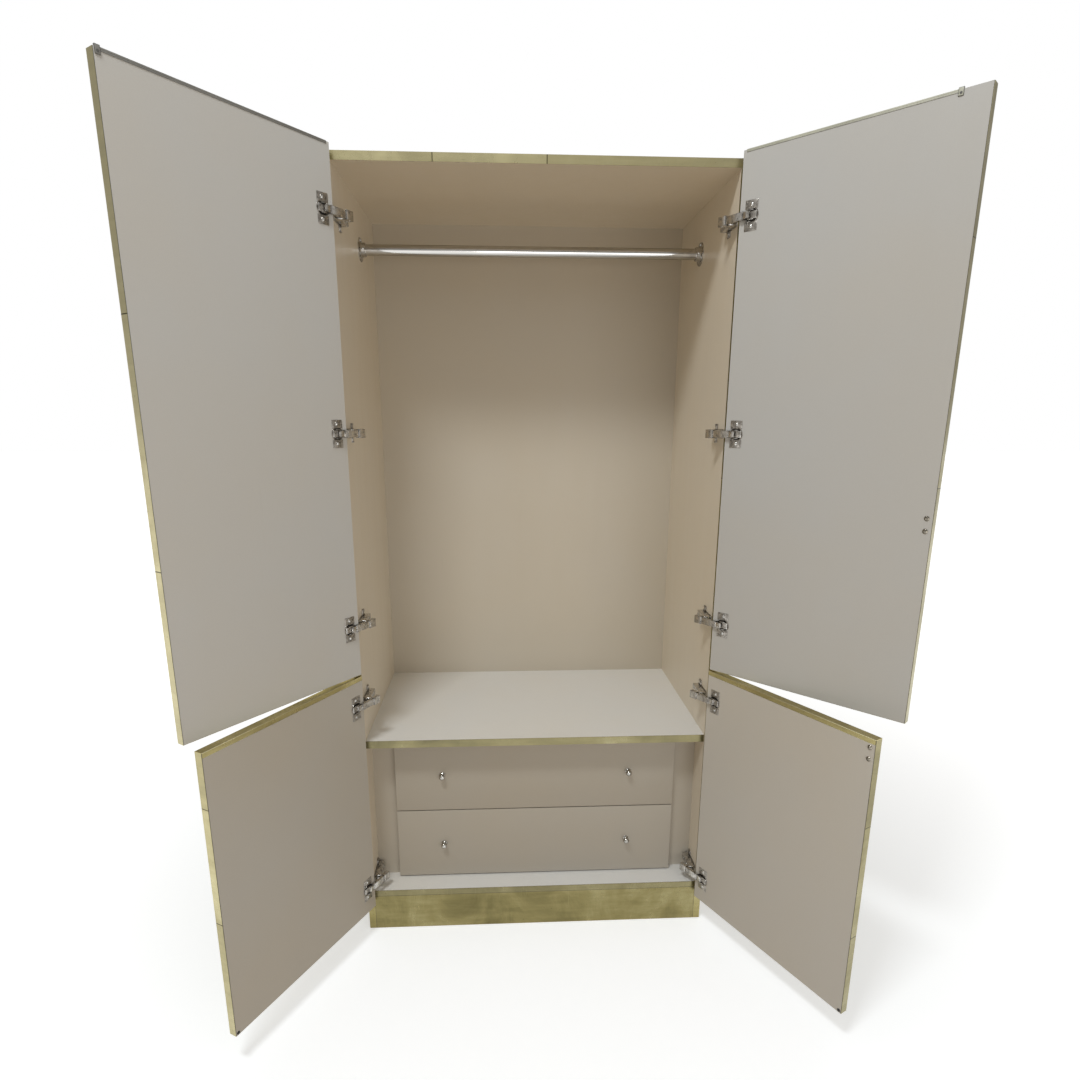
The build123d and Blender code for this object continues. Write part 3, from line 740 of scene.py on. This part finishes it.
def makeRail():
    low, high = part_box("hanging_rail")
    radius = (high.z - low.z) / 2
    centre = (low + high) / 2
    half = (high.x - low.x) / 2
    bm = bmesh.new()
    inside = radius - rail["wall"]
    profile = [(radius, -half), (radius, half), (inside, half), (inside, -half), (radius, -half)]
    addSpun(bm, profile, centre, (1, 0, 0), 64)
    tube = finishPiece(bm, "rail_tube", "carcass", [chrome])
    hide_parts("hanging_rail")
    low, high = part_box("rail_flanges")
    outer = (high.z - low.z) / 2
    bore = radius + rail["play"]
    plate, collar, deep = rail["flangePlate"], rail["collar"], rail["collarDepth"]
    profile = [(bore, plate), (bore, deep), (collar - 0.0012, deep), (collar, deep - 0.0012),
               (collar + 0.0004, plate + 0.0022), (collar + 0.0030, plate), (outer - 0.0012, plate - 0.0002),
               (outer, plate - 0.0014), (outer, 0), (0, 0), (0, plate - 0.001), (bore, plate - 0.001),
               (bore, plate)]
    bm = bmesh.new()
    screws = bmesh.new()
    for side in (-1, 1):
        base = (side * high.x, centre.y, centre.z)
        addSpun(bm, profile, base, (-side, 0, 0), 48)
        for count in range(3):
            angle = radians(90 + 120 * count)
            spot = (base[0] - side * plate, base[1] + cos(angle) * rail["screwRing"],
                    base[2] + sin(angle) * rail["screwRing"])
            addScrewHead(screws, spot, (-side, 0, 0), *rail["screw"])
        # grub screw in the front of the collar
        spot = (base[0] - side * rail["grubPlace"], base[1] - collar, base[2])
        addScrewHead(screws, spot, (0, -1, 0), *rail["grubScrew"])
    flanges = finishPiece(bm, "rail_flange_set", "carcass", [chrome])
    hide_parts("rail_flanges")
    finishPiece(screws, "rail_flange_screws", "carcass", [screwSteel])


makeRail()
print("rail made")

# drawer fronts and knobs
drawer = {
    "edgeRadius": 0.0009,
    "knobSpread": 0.280,
    "knob": [(0, 0), (0.0082, 0), (0.0084, 0.0010), (0.0074, 0.0022), (0.0050, 0.0034), (0.0040, 0.0060),
             (0.0044, 0.0085), (0.0068, 0.0105), (0.0084, 0.0130), (0.0089, 0.0157), (0.0084, 0.0183),
             (0.0068, 0.0206), (0.0042, 0.0222), (0.0018, 0.0229), (0, 0.0230)],
}


def makeDrawer(level):
    low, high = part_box(level + "_drawer_front")
    bm = bmesh.new()
    addBox(bm, low, high, drawer["edgeRadius"], 3)
    board = finishPiece(bm, level + "_drawer_board", level + "_drawer", [drawerLaminate])
    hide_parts(level + "_drawer_front")
    bm = bmesh.new()
    knobLow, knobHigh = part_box(level + "_drawer_knobs")
    middle = (knobLow.z + knobHigh.z) / 2
    for side in (-1, 1):
        addSpun(bm, drawer["knob"], (side * drawer["knobSpread"], low.y, middle), (0, -1, 0), 40)
    knobs = finishPiece(bm, level + "_knob_set", level + "_drawer", [knobChrome],
                        smoothAngle=50)
    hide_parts(level + "_drawer_knobs")


makeDrawer("lower")
makeDrawer("upper")
print("drawers made")

# strips, painted edge shadow lines and bumpers on the doors
strip = {
    "height": 0.0055,
    "lift": 0.0010,
    "endGap": {"upper_left": 0.002, "upper_right": 0.050},
    "start": 0.008,
    "groove": 0.0022,
    "lip": 0.0013,
    "lipLap": 0.0002,
    "fold": 0.0030,
    "clip": (0.010, 0.012),
    "clipFront": (0.0020, 0.0036),  # how far it stands from the leaf's face and from its top
    "clipHook": (0.0016, 0.0038),
    "clipScrew": [(0, 0.0006), (0.0010, 0.0006), (0.0026, 0.0005), (0.0028, 0), (0, 0)],
}


def leafEnd():
    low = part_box("left_side_cladding")[0]
    return -low.x - leaf["endGap"] + leaf["hingeEdge"]


def makeTopStrip(door):
    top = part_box(door + "_door_panel")[1].z
    end = leafEnd() - strip["endGap"][door]
    start = leaf["hingeEdge"] + strip["start"]
    face = leaf["inner"]
    lift, fold = strip["lift"], strip["fold"]
    middle = top - strip["groove"]
    base = top - strip["height"]
    lipTop = base + strip["lip"]
    clipWide, clipTall = strip["clip"]
    clipStart = end - clipWide
    frontOut, frontUp = strip["clipFront"]
    hookOut, hookUp = strip["clipHook"]
    bm = bmesh.new()
    addBox(bm, (start, face, lipTop - strip["lipLap"]), (end, face + lift * 0.8, middle), 0.0003)
    addBox(bm, (start, face, base), (end, face + lift * 0.9, lipTop), 0.0003, 2, 1)
    addBox(bm, (start, face, middle), (end, face + lift, top + lift), 0.0003)
    addBox(bm, (start, face - fold, top), (end, face + lift * 0.8, top + lift), 0.0003)
    addBox(bm, (clipStart, face, top - clipTall), (end, face + frontOut, top + frontUp), 0.0009, 3, 1)
    addBox(bm, (clipStart, face - fold, top + lift), (end, face + hookOut, top + hookUp), 0.0012, 3, 1)
    addSpun(bm, strip["clipScrew"], (end - clipWide / 2, face + hookOut, top - clipTall * 0.55),
            (0, 1, 0), 20, 1)
    piece = finishPiece(bm, door + "_strip", door + "_door", [stripTone[door], darkPlasticAndShadowLine],
                        leafMatrix(door))
    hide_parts(door + "_door_top_strip")


edgeShadowLine = {"reveal": 0.0015, "width": 0.0007, "ends": (0.0011, 0.0007)}


def makeEdgeShadowLine(door):
    # a painted shadow line: a dark strip in the gap where the folded brass edge meets the laminate
    low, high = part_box(door + "_door_panel")
    end = leafEnd()
    inner, outer = edgeShadowLine["ends"]
    line = leaf["inner"] - edgeShadowLine["reveal"]
    bm = bmesh.new()
    addBox(bm, (end - inner, line, low.z), (end - outer, line + edgeShadowLine["width"], high.z), 0.0001, 1)
    finishPiece(bm, door + "_edge_shadow_line", door + "_door", [darkPlasticAndShadowLine],
                leafMatrix(door))


hem = {
    "depths": (-0.0010, 0.0005),
    "heights": (-0.0016, 0.0002),
    "lineDepths": (-0.0002, 0.0003),
    "lineHeights": (-0.0128, -0.0119),
    "lineGap": 0.0012,
}


def makeHem(door):
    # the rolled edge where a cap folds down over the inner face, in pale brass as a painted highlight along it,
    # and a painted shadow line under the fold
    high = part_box(door + "_door_cap")[1]
    start, end = leaf["hingeEdge"], leafEnd()
    rolls = [(leaf["inner"] + depth, high.z + height) for depth, height in zip(hem["depths"], hem["heights"])]
    lines = [(leaf["inner"] + depth, high.z + height)
             for depth, height in zip(hem["lineDepths"], hem["lineHeights"])]
    bm = bmesh.new()
    addBox(bm, (start, *rolls[0]), (end, *rolls[1]), 0.0007, 3)
    addBox(bm, (start, *lines[0]), (end - hem["lineGap"], *lines[1]), 0.0002, 2, 1)
    finishPiece(bm, door + "_cap_hem", door + "_door", [hemHighlightBrass, seamShade],
                leafMatrix(door))


bumper = {"radius": 0.0042, "height": 0.0022, "inset": 0.0062}


def makeBumper(door):
    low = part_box(door + "_door_panel")[0]
    radius, height = bumper["radius"], bumper["height"]
    profile = [(0, height), (radius * 0.6, height * 0.95), (radius * 0.9, height * 0.6), (radius, 0), (0, 0)]
    spot = (leafEnd() - bumper["inset"], leaf["inner"], low.z + bumper["inset"])
    bm = bmesh.new()
    addSpun(bm, profile, spot, (0, 1, 0), 24)
    finishPiece(bm, door + "_bumper", door + "_door", [bumperRubber], leafMatrix(door))


seam = {"width": 0.0009, "proud": 0.0002, "sink": 0.0006, "pastPlinth": 0.0190}


def makeSeams():
    # dark joints of the brass: plinth to side strips, and plinth to deck strip
    low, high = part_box("plinth_cladding")
    front, rear = low.y - seam["proud"], low.y + seam["sink"]
    half = seam["width"] / 2
    top = high.z + seam["pastPlinth"]
    bm = bmesh.new()
    for x in (low.x, high.x):
        addBox(bm, (x - half, front, low.z), (x + half, rear, top), 0.0001, 1)
    addBox(bm, (low.x, front, high.z - half), (high.x, rear, high.z + half), 0.0001, 1)
    finishPiece(bm, "plinth_joints", "carcass", [seamShade])


makeSeams()
for door in doorNames:
    makeEdgeShadowLine(door)
    if door.startswith("upper"):
        makeTopStrip(door)
    else:
        makeHem(door)
        makeBumper(door)
print("door trim made")

# floor, light and camera
studio = {
    "floorSize": 60.0,
    "floorColour": (0.84, 0.855, 0.87),
    "floorBounce": (0.56, 0.44, 0.30),
    "floorFade": (1.0, 3.0, 0.40, 0.80),  # near and far distance, then the glow at each
    "worldLight": 0.46,
    "worldSeen": 1.0,
    "worldTint": (1.0, 0.98, 0.94),
    "keyPlace": (-0.95, -2.1, 4.15),
    "keyAim": (0.05, 0.0, 1.05),
    "keySize": (0.8, 0.5),
    "keyPower": 60.0,
    "keyColour": (0.93, 0.97, 1.0),
    "fillPlace": (0.9, -3.4, 0.9),
    "fillAim": (-0.1, 0.2, 0.8),
    "fillSize": (2.4, 1.4),
    "fillPower": 20.0,
    "fillColour": (1, 1, 1),
}


def makeFloor():
    bm = bmesh.new()
    bmesh.ops.create_grid(bm, x_segments=8, y_segments=8, size=studio["floorSize"] / 2)
    mesh = bpy.data.meshes.new("studio_floor")
    bm.to_mesh(mesh)
    bm.free()
    material, tree, shader, coords = newMaterial("studioFloor")
    drift = noise(tree, coords, 0.4, 2.0)
    base = studio["floorColour"]
    shade = tuple(value * 0.985 for value in base)
    tree.links.new(ramp(tree, drift, [(0.3, shade), (0.7, base)]), shader.inputs["Base Color"])
    shader.inputs["Roughness"].default_value = 0.9
    shader.inputs["Specular IOR Level"].default_value = 0.05
    shader.inputs["Emission Color"].default_value = (1, 1, 1, 1)
    away = tree.nodes.new("ShaderNodeVectorMath")
    away.operation = "LENGTH"
    tree.links.new(coords, away.inputs[0])
    glow = spread(tree, away.outputs["Value"], *studio["floorFade"])
    tree.links.new(glow, shader.inputs["Emission Strength"])
    bounce = tree.nodes.new("ShaderNodeBsdfDiffuse")
    bounce.inputs["Color"].default_value = (*studio["floorBounce"], 1)
    path = tree.nodes.new("ShaderNodeLightPath")
    blend = tree.nodes.new("ShaderNodeMixShader")
    output = tree.nodes["Material Output"]
    tree.links.new(path.outputs["Is Diffuse Ray"], blend.inputs[0])
    tree.links.new(shader.outputs[0], blend.inputs[1])
    tree.links.new(bounce.outputs[0], blend.inputs[2])
    tree.links.new(blend.outputs[0], output.inputs["Surface"])
    mesh.materials.append(material)
    floor = bpy.data.objects.new("studio_floor", mesh)
    bpy.context.scene.collection.objects.link(floor)


def makeArea(name):
    lamp = bpy.data.lights.new(name, "AREA")
    lamp.shape = "RECTANGLE"
    lamp.size, lamp.size_y = studio[name + "Size"]
    lamp.energy = studio[name + "Power"]
    lamp.color = studio[name + "Colour"]
    holder = bpy.data.objects.new(name, lamp)
    place, aim = Vector(studio[name + "Place"]), Vector(studio[name + "Aim"])
    holder.location = place
    holder.rotation_euler = (aim - place).to_track_quat("-Z", "Y").to_euler()
    bpy.context.scene.collection.objects.link(holder)


def makeWorld():
    world = bpy.data.worlds.new("studio")
    bpy.context.scene.world = world
    world.use_nodes = True
    tree = world.node_tree
    tree.nodes.clear()
    output = tree.nodes.new("ShaderNodeOutputWorld")
    seen = tree.nodes.new("ShaderNodeBackground")
    seen.inputs["Color"].default_value = (1, 1, 1, 1)
    seen.inputs["Strength"].default_value = studio["worldSeen"]
    lit = tree.nodes.new("ShaderNodeBackground")
    lit.inputs["Color"].default_value = (*studio["worldTint"], 1)
    lit.inputs["Strength"].default_value = studio["worldLight"]
    path = tree.nodes.new("ShaderNodeLightPath")
    blend = tree.nodes.new("ShaderNodeMixShader")
    tree.links.new(path.outputs["Is Camera Ray"], blend.inputs[0])
    tree.links.new(lit.outputs[0], blend.inputs[1])
    tree.links.new(seen.outputs[0], blend.inputs[2])
    tree.links.new(blend.outputs[0], output.inputs["Surface"])


view = {
    "place": (-0.0963, -2.1001, 1.5139),
    "tilt": 76.16,
    "pan": -2.836,
    "roll": 0.123,
    "lens": 23.0,
    "shift": (0.0045, 0.0446),
}


def makeCamera():
    data = bpy.data.cameras.new("camera")
    data.sensor_width = 36.0
    data.lens = view["lens"]
    data.shift_x, data.shift_y = view["shift"]
    data.clip_end = 100.0
    camera = bpy.data.objects.new("camera", data)
    camera.location = view["place"]
    turn = Matrix.Rotation(radians(view["pan"]), 4, "Z") @ Matrix.Rotation(radians(view["tilt"]), 4, "X")
    turn = turn @ Matrix.Rotation(radians(view["roll"]), 4, "Z")
    camera.rotation_euler = turn.to_euler()
    bpy.context.scene.collection.objects.link(camera)
    bpy.context.scene.camera = camera


bpy.context.scene.view_settings.view_transform = "Standard"
makeFloor()
makeArea("key")
makeArea("fill")
makeWorld()
makeCamera()
print("studio ready")
